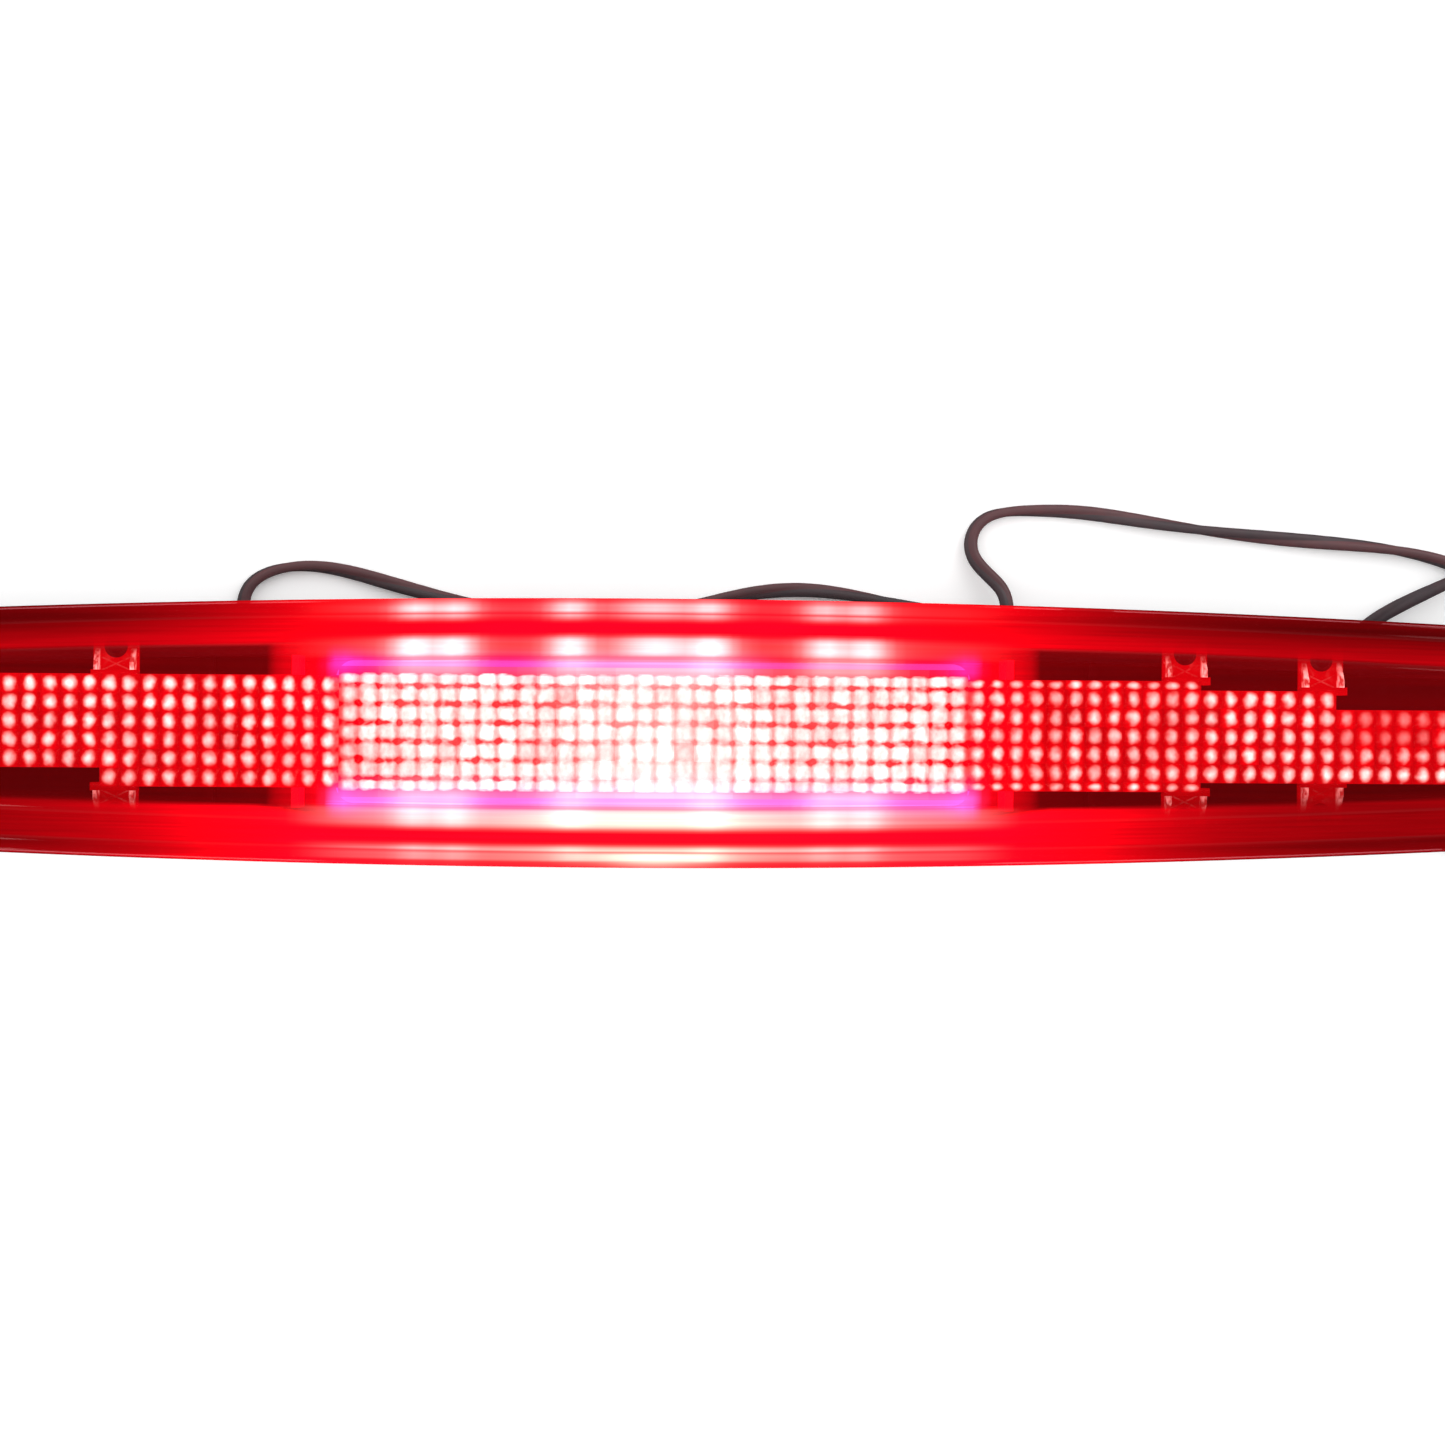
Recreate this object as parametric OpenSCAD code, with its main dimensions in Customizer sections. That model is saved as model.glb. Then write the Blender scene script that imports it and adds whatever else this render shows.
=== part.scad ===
// High-mounted third brake light: a slim red lamp that lies on its two mounting pads, lens up.
// X runs along the lamp, Y across it and Z out of the lens.
// The origin is on the mounting plane, under the lamp's middle.

/* [Lens] */
// Length of the lamp over its rounded ends
lamp_length = 480; // [460:5:500]
// Height of the lens at the middle
lamp_height = 54.4; // [53:0.2:56]
// Radius of the two long edges
edge_radius = 3240; // [3100:20:3600]
// Thickness of the lens wall
lens_wall = 2.2; // [2:0.1:2.4]

/* [Housing] */
// Wall thickness of the housing
wall = 2; // [1.6:0.1:2.2]
// Distance between the two mounting screws
mount_pitch = 250; // [240:2:254]
// Radius of the mounting bosses
boss_r = 13; // [11:0.5:13]
// Bore radius of the threaded inserts, for an M5 thread
insert_bore_r = 2.1; // [2:0.1:2.4]

/* [Optic] */
// Pillow pitch along the lamp
pillow_x = 3.95; // [3.8:0.05:4]
// Pillow pitch across the lamp
pillow_y = 3.75; // [3.6:0.05:3.8]
// Half length of the lit box round the board
box_half = 64; // [62:0.5:66]

/* [Electrics] */
// Side of one square LED
led_side = 7.6; // [7:0.1:8]
// Thickness of the circuit board
board_t = 1.6; // [1.5:0.1:1.7]

/* [Cable] */
// Diameter of one wire of the pair
wire_d = 1.5; // [1.4:0.1:1.6]

/* [Plug] */
// Width of the plug's body
plug_w = 13; // [12.6:0.2:14]
// Height of the plug's body
plug_h = 9.5; // [9.5:0.1:9.8]

/* [Hidden] */

$fn = 48;
eps = 0.01;

// Heights of the main levels above the mounting plane
pad_t = 3;
floor_z = 12;
flange_z = 20;
flange_t = 2;
lens_z = flange_z + flange_t;
face_z = 34;
optic_z = 25;
optic_t = 2.2;
pillow_h = 1;
board_z = 17;
board_top = board_z + board_t;

// Plan: two long arcs, closed by an end arc that is tangent to both
half_l = lamp_length / 2;
half_h = lamp_height / 2;
arc_y = edge_radius - half_h;
end_r = (edge_radius * edge_radius - arc_y * arc_y - half_l * half_l) / (2 * (edge_radius - half_l));
end_x = half_l - end_r;
tangent_a = atan(end_x / arc_y);
end_steps = 14;
edge_steps = 20;

// Insets of the plan, measured in from the lens's outer edge
flange_in = 0.5;
tub_in = 9;
cavity_in = tub_in + wall;

// The plan's outline, moved inwards by d. Every inset has the same number of points.
function arc_points(cx, cy, r, from, to, steps) =
    [for (i = [0 : steps - 1]) let (a = from + (to - from) * i / steps) [cx + r * cos(a), cy + r * sin(a)]];
function plan(d) = concat(
    arc_points(end_x, 0, end_r - d, tangent_a - 90, 90 - tangent_a, end_steps),
    arc_points(0, -arc_y, edge_radius - d, 90 - tangent_a, 90 + tangent_a, edge_steps),
    arc_points(-end_x, 0, end_r - d, 90 + tangent_a, 270 - tangent_a, end_steps),
    arc_points(0, arc_y, edge_radius - d, 270 - tangent_a, 270 + tangent_a, edge_steps));
plan_n = 2 * (end_steps + edge_steps);

// Half height of the lens's outer edge at a place along the lamp
function half_height(x) = sqrt(edge_radius * edge_radius - x * x) - arc_y;

// Lens profile as [inset, height]: up the outside, and down the inside
lens_outside = [[0.3, lens_z], [0, lens_z + 0.4], [0, lens_z + 2.8], [0.4, lens_z + 3.4], [3.2, lens_z + 4],
    [4, lens_z + 4.7], [8.4, face_z - 1.3], [9.2, face_z - 0.5], [10.4, face_z - 0.15], [13, face_z]];
lens_inside = [[13, face_z - lens_wall], [11, face_z - lens_wall - 0.3], [9.8, face_z - lens_wall - 1.2],
    [5.6, lens_z + 2.8], [4.6, lens_z + 2], [lens_wall, lens_z + 1.4], [lens_wall, lens_z]];

// Mounting screws, optic fixings and board screws
mount_x = [-mount_pitch / 2, mount_pitch / 2];
insert_r = 3.75;
insert_h = 8;
tab_x = [-136, -108, 108, 136];
stake_in = 8.6;
stake_r = 1.4;
stake_head_r = 2.3;
tab_t = 1.6;
board_l = 118;
board_w = 24;
board_screw_x = 54;
board_screw_y = 8.5;
screw_shank_r = 1.15;

// Box and shields round the lit middle
box_w = 28.8;
box_wall = 1.6;
box_corner_r = 4;
shield_x = 72;
shield_t = 1.6;
shield_h = optic_z - floor_z - wall - 0.2;

// LED places along the board
led_mid = -3;
led_x = [-45, -37, -14, 14, 37, 45];
led_body_h = 4;
led_dome_r = 2.5;

// Cable outlet under the housing, facing -X
outlet_x = -30;
outlet_l = 14;
outlet_w = 10;
outlet_z = 7;
grommet_r = 3.5;
grommet_flange_t = 1.6;
snout_l = 8.4;
grommet_plug_l = 5;
lead_x = outlet_x + 9;
lead_y = 1.5;
lead_r = wire_d / 2;
header_h = 2.8;
cable_r = wire_d;
lie = cable_r + 0.05;
vent_x = 50;
vent_y = -6;
vent_r = 5;
vent_stem_r = 2;

// Plug, lying to the lower right of the lamp, with its mouth towards +X
plug_x = 206;
plug_y = -33;
plug_body_l = 14;
plug_nose_l = 8;
plug_nose_w = 10;
plug_nose_h = 7;
plug_nose_z = (plug_h - plug_nose_h) / 2;
boot_l = 6;
terminal_y = 2.5;
terminal_side = 2;
terminal_l = 12;
latch_x = plug_x + 7;
latch_z = plug_h + 1.8;
latch_pin_r = 0.7;
pin_clearance = 0.06;
ear_t = 1.2;
latch_w = 5.4;
ear_gap = 0.3;
lock_x = plug_x + 3;
lock_l = 6;
lock_z = 0.9;
lock_t = 1.8;
lock_depth = 9;
lock_proud = 0.6;
lock_clearance = 0.15;

// The cable's route, from the grommet to the plug's boot
route = [
    [-40, 0, outlet_z], [-50, 0.4, 6.4], [-62, 3.4, 2.6], [-74, 9, lie], [-82.3, 16.8, lie],
    [-86.2, 25.3, lie], [-83.9, 32.1, lie], [-74.5, 34.9, lie], [-63.4, 33.7, lie], [-45.2, 27.7, lie],
    [-18.6, 23.5, lie], [9.1, 26.1, lie], [31.4, 33.2, lie], [73.6, 21.3, lie], [88.8, 27.1, lie],
    [101.6, 24.5, lie], [104, 16.4, lie], [98.4, 10, lie], [91, 10.4, lie], [79.9, 18, 4.4],
    [73.3, 24.3, 5.6], [74.7, 30.6, 4.9], [65.1, 37, 2.2], [67.9, 47, lie], [80.8, 47.4, lie],
    [92, 47.2, lie], [114.8, 43.3, lie], [141.1, 41.1, lie], [166.7, 39.5, lie], [192, 26.1, lie],
    [199, 34.1, lie], [200.1, 43.1, lie], [192.4, 49.1, 2.6], [184.6, 45, 4.8], [172.9, 33.8, 5.4],
    [141.3, 22.3, 2], [147, -1, lie], [166, -24, lie], [188, plug_y, 3.4], [200, plug_y, plug_h / 2]
];
ring_pitch = 8;
cable_sides = 8;

// A smooth curve drawn towards the route's points, starting on the first and ending on the last
last = len(route) - 1;
guides = concat([2 * route[0] - route[1]], route, [2 * route[last] - route[last - 1]]);
function curve_point(i, t) =
    (pow(1 - t, 3) * guides[i] + (3 * pow(t, 3) - 6 * t * t + 4) * guides[i + 1]
    + (-3 * pow(t, 3) + 3 * t * t + 3 * t + 1) * guides[i + 2] + pow(t, 3) * guides[i + 3]) / 6;
centreline = concat(
    [for (i = [0 : last - 1]) let (n = max(1, round(norm(route[i + 1] - route[i]) / ring_pitch))) each
        [for (k = [0 : n - 1]) curve_point(i, k / n)]],
    [route[last]]);

function unit(v) = v / norm(v);
function heading(path, i) = unit(path[min(i + 1, len(path) - 1)] - path[max(i - 1, 0)]);

// A closed solid through rings that all have n points, in order
module skin(rings, n) {
    count = len(rings);
    polyhedron(
        points = [for (ring = rings) each ring],
        faces = concat(
            [[for (k = [0 : n - 1]) k]],
            [for (i = [0 : count - 2], k = [0 : n - 1])
                [i * n + k, (i + 1) * n + k, (i + 1) * n + (k + 1) % n, i * n + (k + 1) % n]],
            [[for (k = [n - 1 : -1 : 0]) (count - 1) * n + k]]));
}

// A round tube swept along a path
module tube(path, r, sides) {
    rings = [for (i = [0 : len(path) - 1])
        let (
            ahead = heading(path, i),
            side = unit(cross(ahead, [0, 0, 1])),
            up = cross(side, ahead))
        [for (k = [0 : sides - 1]) path[i] + r * (cos(360 * k / sides) * side + sin(360 * k / sides) * up)]];
    skin([for (i = [len(rings) - 1 : -1 : 0]) rings[i]], sides);
}

module plate(inset, z, h) {
    translate([0, 0, z]) linear_extrude(h) polygon(plan(inset));
}

module band(inset, width, z, h) {
    difference() {
        plate(inset, z, h);
        plate(inset + width, z - 1, h + 2);
    }
}

// A block centred in X and Y, standing on z
module block(x, y, z, size) {
    translate([x - size[0] / 2, y - size[1] / 2, z]) cube(size);
}

module rounded_block(size, r) {
    linear_extrude(size[2]) union() {
        square([size[0] - 2 * r, size[1]], center = true);
        square([size[0], size[1] - 2 * r], center = true);
        for (sx = [-1, 1], sy = [-1, 1])
            translate([sx * (size[0] / 2 - r), sy * (size[1] / 2 - r)]) circle(r);
    }
}

module outer_lens() {
    color([0.8, 0.02, 0.03, 0.6])
        skin([for (p = concat(lens_inside, lens_outside)) [for (q = plan(p[0])) [q[0], q[1], p[1]]]], plan_n);
}

module housing() {
    color([0.09, 0.09, 0.1]) {
        difference() {
            union() {
                plate(tub_in, floor_z, lens_z - floor_z);
                plate(flange_in, flange_z, flange_t);
                for (x = mount_x) translate([x, 0, pad_t]) cylinder(r = boss_r, h = floor_z - pad_t + wall);
                block(outlet_x + outlet_l / 2, 0, 2, [outlet_l, outlet_w, floor_z - 2 + eps]);
            }
            difference() {
                plate(cavity_in, floor_z + wall, lens_z);
                for (x = mount_x) translate([x, 0, floor_z]) cylinder(r = insert_r + wall, h = wall + 1);
            }
            band(0.9, 1, lens_z - 0.8, 2);
            for (x = mount_x) translate([x, 0, pad_t - 1]) cylinder(r = insert_r, h = insert_h + 1);
            translate([outlet_x - 1, 0, outlet_z]) rotate([0, 90, 0]) cylinder(r = grommet_r, h = 8);
            block(lead_x, 0, 4, [7, 6.4, floor_z]);
            translate([vent_x, vent_y, floor_z - 1]) cylinder(r = vent_stem_r, h = wall + 2);
        }
        board_posts();
        heat_stakes();
        floor_ribs();
    }
}

module board_posts() {
    for (sx = [-1, 1], sy = [-1, 1]) translate([sx * board_screw_x, sy * board_screw_y, floor_z + wall - eps])
        difference() {
            cylinder(r = 3, h = board_z - floor_z - wall + eps);
            translate([0, 0, 0.6]) cylinder(r = screw_shank_r + 0.05, h = 5);
        }
}

module heat_stakes() {
    for (x = tab_x, s = [-1, 1]) translate([x, s * (half_height(x) - stake_in), lens_z - eps]) {
        cylinder(r = stake_r, h = tab_t + 3 * eps);
        translate([0, 0, tab_t + 2 * eps]) cylinder(r1 = stake_head_r, r2 = stake_head_r - 0.8, h = 1.1);
    }
}

module floor_ribs() {
    for (x = [-196, -168, -90, 90, 168, 196])
        block(x, 0, floor_z + wall - eps, [1.4, 2 * (half_height(x) - cavity_in) + 0.4, 4]);
}

module lens_sealant() {
    color([0.15, 0.15, 0.15]) band(0.9, 1, lens_z - 0.8, 0.8);
}

module flange_gasket() {
    color([0.05, 0.05, 0.05]) band(3, 4, flange_z - 3, 3);
}

module pad_gasket(x) {
    color([0.05, 0.05, 0.05]) translate([x, 0, 0]) difference() {
        cylinder(r = boss_r, h = pad_t);
        translate([0, 0, -1]) cylinder(r = insert_r + 0.75, h = pad_t + 2);
    }
}

module mount_inserts() {
    color([0.8, 0.62, 0.25]) for (x = mount_x) translate([x, 0, pad_t]) difference() {
        cylinder(r = insert_r, h = insert_h);
        translate([0, 0, -1]) cylinder(r = insert_bore_r, h = insert_h + 2);
    }
}

// Each zone is [first x, last x, rows above the middle, rows below it]
optic_zones = [
    [-57, -40, 2, 2], [-40, -28, 3, 2], [-28, -16, 3, 3], [-16, 16, 3.5, 3.5],
    [16, 28, 3, 3], [28, 35, 2.5, 2.5], [35, 57, 1.5, 2.5]
];

module inner_optic() {
    color([0.9, 0.85, 0.88, 0.5]) {
        difference() {
            union() {
                for (zone = optic_zones) translate([zone[0] * pillow_x, -zone[3] * pillow_y, optic_z])
                    cube([(zone[1] - zone[0]) * pillow_x, (zone[2] + zone[3]) * pillow_y, optic_t + pillow_h]);
                for (x = tab_x, s = [-1, 1]) optic_tab(x, s);
            }
            for (x = tab_x, s = [-1, 1]) translate([x, s * (half_height(x) - stake_in), lens_z - 1])
                cylinder(r = stake_r + 0.1, h = 5);
        }
    }
}

// A leg from the plate's edge down to the flange, with a foot round the stake
module optic_tab(x, s) {
    zone = [for (z = optic_zones) if (x >= z[0] * pillow_x && x < z[1] * pillow_x) z][0];
    web_y = (s > 0 ? zone[2] : zone[3]) * pillow_y;
    foot_y = half_height(x) - stake_in;
    mirror([0, s < 0 ? 1 : 0, 0]) {
        block(x, (web_y + foot_y + 2.4) / 2, lens_z, [9, foot_y + 2.4 - web_y, tab_t]);
        block(x, web_y, lens_z, [9, 1.6, optic_z + optic_t - lens_z]);
    }
}

module light_box() {
    color([0.95, 0.75, 0.9, 0.5]) translate([0, 0, floor_z + wall]) difference() {
        rounded_block([2 * box_half, box_w, optic_z - floor_z - wall], box_corner_r);
        translate([0, 0, -1])
            rounded_block([2 * (box_half - box_wall), box_w - 2 * box_wall, optic_z], box_corner_r - box_wall);
    }
}

module light_shield(x) {
    color([0.7, 0.05, 0.06])
        block(x, 0, floor_z + wall, [shield_t, 2 * (half_height(x) - cavity_in) - 0.2, shield_h]);
}

module led_board() {
    color([0.85, 0.86, 0.84]) difference() {
        block(0, 0, board_z, [board_l, board_w, board_t]);
        for (sx = [-1, 1], sy = [-1, 1]) translate([sx * board_screw_x, sy * board_screw_y, board_z - 1])
            cylinder(r = screw_shank_r + 0.4, h = board_t + 2);
    }
}

module board_screws() {
    color([0.7, 0.7, 0.72]) for (sx = [-1, 1], sy = [-1, 1])
        translate([sx * board_screw_x, sy * board_screw_y, board_top]) {
            translate([0, 0, -4]) cylinder(r = screw_shank_r, h = 4 + eps);
            cylinder(r = 2.6, h = 1.2);
            translate([0, 0, 1.2 - eps]) cylinder(r1 = 2.6, r2 = 1.8, h = 0.5);
        }
}

module led(i) {
    color([0.95, 0.3, 0.35]) translate([led_mid + led_x[i - 1], 0, board_top]) {
        block(0, 0, 0, [led_side, led_side, led_body_h]);
        translate([0, 0, led_body_h - eps]) cylinder(r = led_dome_r, h = 0.6);
        translate([0, 0, led_body_h + 0.5]) cylinder(r1 = led_dome_r, r2 = led_dome_r - 1, h = 1);
    }
}

module series_resistors() {
    color([0.2, 0.45, 0.6]) for (x = [-29, 23]) translate([x, -7, board_top + 1.4]) rotate([0, 90, 0]) {
        cylinder(r = 1.2, h = 6.4, center = true);
        for (s = [-1, 1]) translate([0, 0, s * 2.6]) cylinder(r = 1.35, h = 1.2, center = true);
    }
}

module protection_diode() {
    color([0.1, 0.1, 0.1]) block(-24, 7, board_top, [4.6, 2.8, 2.2]);
}

// The header hangs under the board, right above the outlet
module wire_header() {
    color([0.9, 0.9, 0.85]) difference() {
        block(lead_x, 0, board_z - header_h, [6, 6.4, header_h]);
        for (s = [-1, 1]) translate([lead_x, s * lead_y, board_z - header_h - 1])
            cylinder(r = lead_r + 0.15, h = 3);
    }
}

// A lead crosses the outlet from the grommet's end and rises into the header
module lead(s) {
    translate([outlet_x + grommet_plug_l, s * lead_y, outlet_z]) rotate([0, 90, 0])
        cylinder(r = lead_r, h = lead_x - outlet_x - grommet_plug_l);
    translate([lead_x, s * lead_y, outlet_z - lead_r - 0.2])
        cylinder(r = lead_r + 0.05, h = board_z - header_h + 1.8 - outlet_z + lead_r);
}

module lead_positive() {
    color([0.7, 0.05, 0.05]) lead(1);
}

module lead_negative() {
    color([0.08, 0.08, 0.08]) lead(-1);
}

module vent_cap() {
    color([0.06, 0.06, 0.06]) translate([vent_x, vent_y, 0]) {
        translate([0, 0, floor_z - 3]) cylinder(r = vent_r, h = 3);
        translate([0, 0, floor_z - eps]) cylinder(r = vent_stem_r, h = wall + 1);
    }
}

module cable_grommet() {
    color([0.05, 0.05, 0.05]) translate([outlet_x, 0, outlet_z]) rotate([0, -90, 0]) {
        translate([0, 0, -grommet_plug_l]) cylinder(r = grommet_r, h = grommet_plug_l + eps);
        cylinder(r = grommet_r + 1.1, h = grommet_flange_t);
        translate([0, 0, grommet_flange_t - eps]) cylinder(r1 = 3, r2 = cable_r + 0.4, h = snout_l + eps);
    }
}

module cable() {
    color([0.2, 0.06, 0.07]) tube(centreline, cable_r, cable_sides);
}

module plug_boot() {
    color([0.75, 0.3, 0.1]) translate([plug_x - boot_l, plug_y, plug_h / 2]) rotate([0, 90, 0])
        cylinder(r1 = cable_r + 0.5, r2 = 3.6, h = boot_l);
}

module plug_housing() {
    middle = plug_x + plug_body_l / 2;
    color([0.12, 0.12, 0.13]) difference() {
        union() {
            block(middle, plug_y, 0, [plug_body_l, plug_w, plug_h]);
            block(plug_x + plug_body_l + plug_nose_l / 2 - eps, plug_y, plug_nose_z,
                [plug_nose_l, plug_nose_w, plug_nose_h]);
            for (s = [-1, 1]) block(latch_x, plug_y + s * (latch_w / 2 + ear_gap + ear_t / 2), plug_h - eps,
                [3.4, ear_t, 3.2]);
        }
        for (s = [-1, 1]) block(plug_x + plug_body_l + plug_nose_l - terminal_l / 2, plug_y + s * terminal_y,
            (plug_h - terminal_side) / 2 - 0.1, [terminal_l + 2, terminal_side + 0.2, terminal_side + 0.2]);
        translate([latch_x, plug_y, latch_z]) rotate([90, 0, 0])
            cylinder(r = latch_pin_r + pin_clearance, h = plug_w, center = true);
        lock_pocket();
        seal_groove();
    }
}

module lock_pocket() {
    translate([lock_x - lock_clearance, plug_y - plug_w / 2 - 1, lock_z - lock_clearance])
        cube([lock_l + 2 * lock_clearance, lock_depth + 1 + lock_clearance, lock_t + 2 * lock_clearance]);
}

module seal_groove() {
    difference() {
        block(plug_x + plug_body_l + 2, plug_y, 0, [2, plug_w, plug_h]);
        block(plug_x + plug_body_l + 2, plug_y, plug_nose_z + 0.6, [4, plug_nose_w - 1.2, plug_nose_h - 1.2]);
    }
}

module plug_seal_ring() {
    color([0.85, 0.35, 0.1]) difference() {
        block(plug_x + plug_body_l + 2, plug_y, plug_nose_z - 0.6, [2, plug_nose_w + 1.2, plug_nose_h + 1.2]);
        block(plug_x + plug_body_l + 2, plug_y, plug_nose_z + 0.6, [4, plug_nose_w - 1.2, plug_nose_h - 1.2]);
    }
}

module plug_terminals() {
    color([0.75, 0.72, 0.6]) for (s = [-1, 1]) difference() {
        block(plug_x + plug_body_l + plug_nose_l - terminal_l / 2 - 1, plug_y + s * terminal_y,
            (plug_h - terminal_side) / 2, [terminal_l, terminal_side, terminal_side]);
        block(plug_x + plug_body_l + plug_nose_l - 3, plug_y + s * terminal_y,
            (plug_h - 1) / 2, [6, 1.2, 1]);
    }
}

module plug_latch() {
    color([0.16, 0.16, 0.17]) {
        translate([latch_x, plug_y, latch_z]) rotate([90, 0, 0])
            cylinder(r = latch_pin_r, h = latch_w + 2 * (ear_gap + ear_t), center = true);
        block(latch_x, plug_y, latch_z - 0.6, [14, latch_w, 1.2]);
        block(latch_x - 5.5, plug_y, latch_z + 0.5, [3, latch_w, 0.9]);
        block(latch_x + 6.4, plug_y, latch_z - 1.4, [1.2, latch_w, 1]);
    }
}

module plug_terminal_lock() {
    color([0.85, 0.2, 0.1]) translate([lock_x, plug_y - plug_w / 2 - lock_proud, lock_z])
        cube([lock_l, lock_depth + lock_proud, lock_t]);
}

outer_lens();
housing();
lens_sealant();
flange_gasket();
pad_gasket(mount_x[0]);  // pad_gasket_left
pad_gasket(mount_x[1]);  // pad_gasket_right
mount_inserts();
inner_optic();
light_box();
light_shield(-shield_x);  // light_shield_left
light_shield(shield_x);  // light_shield_right
led_board();
board_screws();
for (i = [1 : 6]) led(i);
series_resistors();
protection_diode();
wire_header();
lead_positive();
lead_negative();
vent_cap();
cable_grommet();
cable();
plug_boot();
plug_housing();
plug_seal_ring();
plug_terminals();
plug_latch();
plug_terminal_lock();
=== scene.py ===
"""A lit third brake light, lying on its mounting pads with the lens up and its cable loose behind it."""
import math

import bmesh
import bpy
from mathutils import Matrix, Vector, noise


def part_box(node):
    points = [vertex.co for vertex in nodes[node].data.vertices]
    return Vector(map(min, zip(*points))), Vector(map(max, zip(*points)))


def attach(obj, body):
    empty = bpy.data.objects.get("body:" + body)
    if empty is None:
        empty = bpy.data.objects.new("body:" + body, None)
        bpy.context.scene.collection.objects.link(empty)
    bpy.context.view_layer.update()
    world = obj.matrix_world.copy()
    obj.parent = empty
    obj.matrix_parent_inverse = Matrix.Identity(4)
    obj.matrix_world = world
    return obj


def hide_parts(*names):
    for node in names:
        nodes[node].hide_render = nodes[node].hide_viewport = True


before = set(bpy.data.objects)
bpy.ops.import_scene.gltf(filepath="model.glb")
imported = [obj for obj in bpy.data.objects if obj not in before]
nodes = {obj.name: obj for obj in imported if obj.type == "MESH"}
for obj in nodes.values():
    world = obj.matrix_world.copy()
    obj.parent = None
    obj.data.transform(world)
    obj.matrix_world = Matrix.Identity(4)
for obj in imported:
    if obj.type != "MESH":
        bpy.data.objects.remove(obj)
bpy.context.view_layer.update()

MM = 0.001


# ---------------------------------------------------------------- small helpers

def mix(a, b, t):
    """The value t of the way from a to b."""
    return a + (b - a) * t


def smooth(lo, hi, x):
    """Nought at lo and one at hi, with a soft start and stop. It falls where hi is below lo."""
    t = min(1.0, max(0.0, (x - lo) / (hi - lo)))
    return t * t * (3 - 2 * t)


def bell(x, middle, width):
    """One at the middle, fading on both sides."""
    return math.exp(-(((x - middle) / width) ** 2))


def along(points, x):
    """The height at x of the line through points, which are (x, height) pairs in order."""
    for (x0, y0), (x1, y1) in zip(points, points[1:]):
        if x <= x1:
            return mix(y0, y1, max(0.0, (x - x0) / (x1 - x0)))
    return points[-1][1]


def piece(name, verts, faces):
    """A smooth mesh object on the lamp's body, from points in millimetres."""
    mesh = bpy.data.meshes.new(name)
    mesh.from_pydata([(x * MM, y * MM, z * MM) for x, y, z in verts], [], faces)
    mesh.validate()
    mesh.polygons.foreach_set("use_smooth", [True] * len(mesh.polygons))
    o = bpy.data.objects.new(name, mesh)
    bpy.context.scene.collection.objects.link(o)
    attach(o, "lamp")
    return o


# ---------------------------------------------------------------- camera

CAMERA_TARGET = Vector((13.5, 2.1, 30)) * MM
CAMERA_AWAY = 600 * MM
CAMERA_LEAN = math.radians(2.5)
CAMERA_ROLL = math.radians(0.37)
CAMERA_VIEW = math.radians(27.1)


def make_camera():
    """Almost straight down on the lamp, a little from the left, as the photograph has it."""
    data = bpy.data.cameras.new("camera")
    data.angle = CAMERA_VIEW
    data.clip_start = 10 * MM
    cam = bpy.data.objects.new("camera", data)
    cam.location = CAMERA_TARGET + Vector((-math.sin(CAMERA_LEAN), 0, math.cos(CAMERA_LEAN))) * CAMERA_AWAY
    cam.rotation_euler = (0, -CAMERA_LEAN, CAMERA_ROLL)
    bpy.context.scene.collection.objects.link(cam)
    bpy.context.scene.camera = cam


make_camera()


# ---------------------------------------------------------------- cable

# The pair's width, and the height of its centreline where it lies on the floor
LIE = 1.55
# Each wire's radius and its distance from the pair's centreline, and the cable's length for half a turn
WIRE_R = 0.98
WIRE_OUT = 0.52
HALF_TURN = 42.0
# How far along the cable the wires lie level, and where the red-brown wire's colour fades out
LEVEL_AT = 302.0
FADE_FROM, FADE_TO = 436, 462
WIRE_SIDES = 24
ROUTE = [
    (-40, 0, 7), (-50, 0.4, 6.4), (-62, 3.4, 2.6), (-74, 9, LIE), (-82.3, 16.8, LIE),
    (-86.2, 25.3, LIE), (-83.9, 32.1, LIE), (-74.5, 34.9, LIE), (-63.4, 33.7, LIE), (-45.2, 27.7, LIE),
    (-18.6, 23.5, LIE), (9.1, 26.1, LIE), (31.4, 33.2, LIE), (73.6, 21.3, LIE), (88.8, 27.1, LIE),
    (101.6, 24.5, LIE), (104, 16.4, LIE), (98.4, 10, LIE), (91, 10.4, LIE), (79.9, 18, 4.4),
    (73.3, 24.3, 5.6), (74.7, 30.6, 4.9), (65.1, 37, 2.2), (67.9, 47, LIE), (80.8, 47.4, LIE),
    (92, 47.2, LIE), (114.8, 43.3, LIE), (141.1, 41.1, LIE), (166.7, 39.5, LIE), (192, 26.1, LIE),
    (199, 34.1, LIE), (200.1, 43.1, LIE), (192.4, 49.1, 2.6), (184.6, 45, 4.8), (172.9, 33.8, 5.4),
    (141.3, 22.3, 2), (147, -1, LIE), (166, -24, LIE), (188, -33, 3.4), (200, -33, 4.75),
]


def route_line(step):
    """The cable's centreline: the smooth curve that the CAD cable follows, with a point about every step."""
    p = [Vector(q) for q in ROUTE]
    guides = [2 * p[0] - p[1]] + p + [2 * p[-1] - p[-2]]
    line = []
    for i in range(len(p) - 1):
        a, b, c, d = guides[i:i + 4]
        n = max(1, round((p[i + 1] - p[i]).length / step))
        for k in range(n):
            t = k / n
            line.append(((1 - t) ** 3 * a + (3 * t ** 3 - 6 * t * t + 4) * b
                         + (-3 * t ** 3 + 3 * t * t + 3 * t + 1) * c + t ** 3 * d) / 6)
    return line + [p[-1]]


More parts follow.
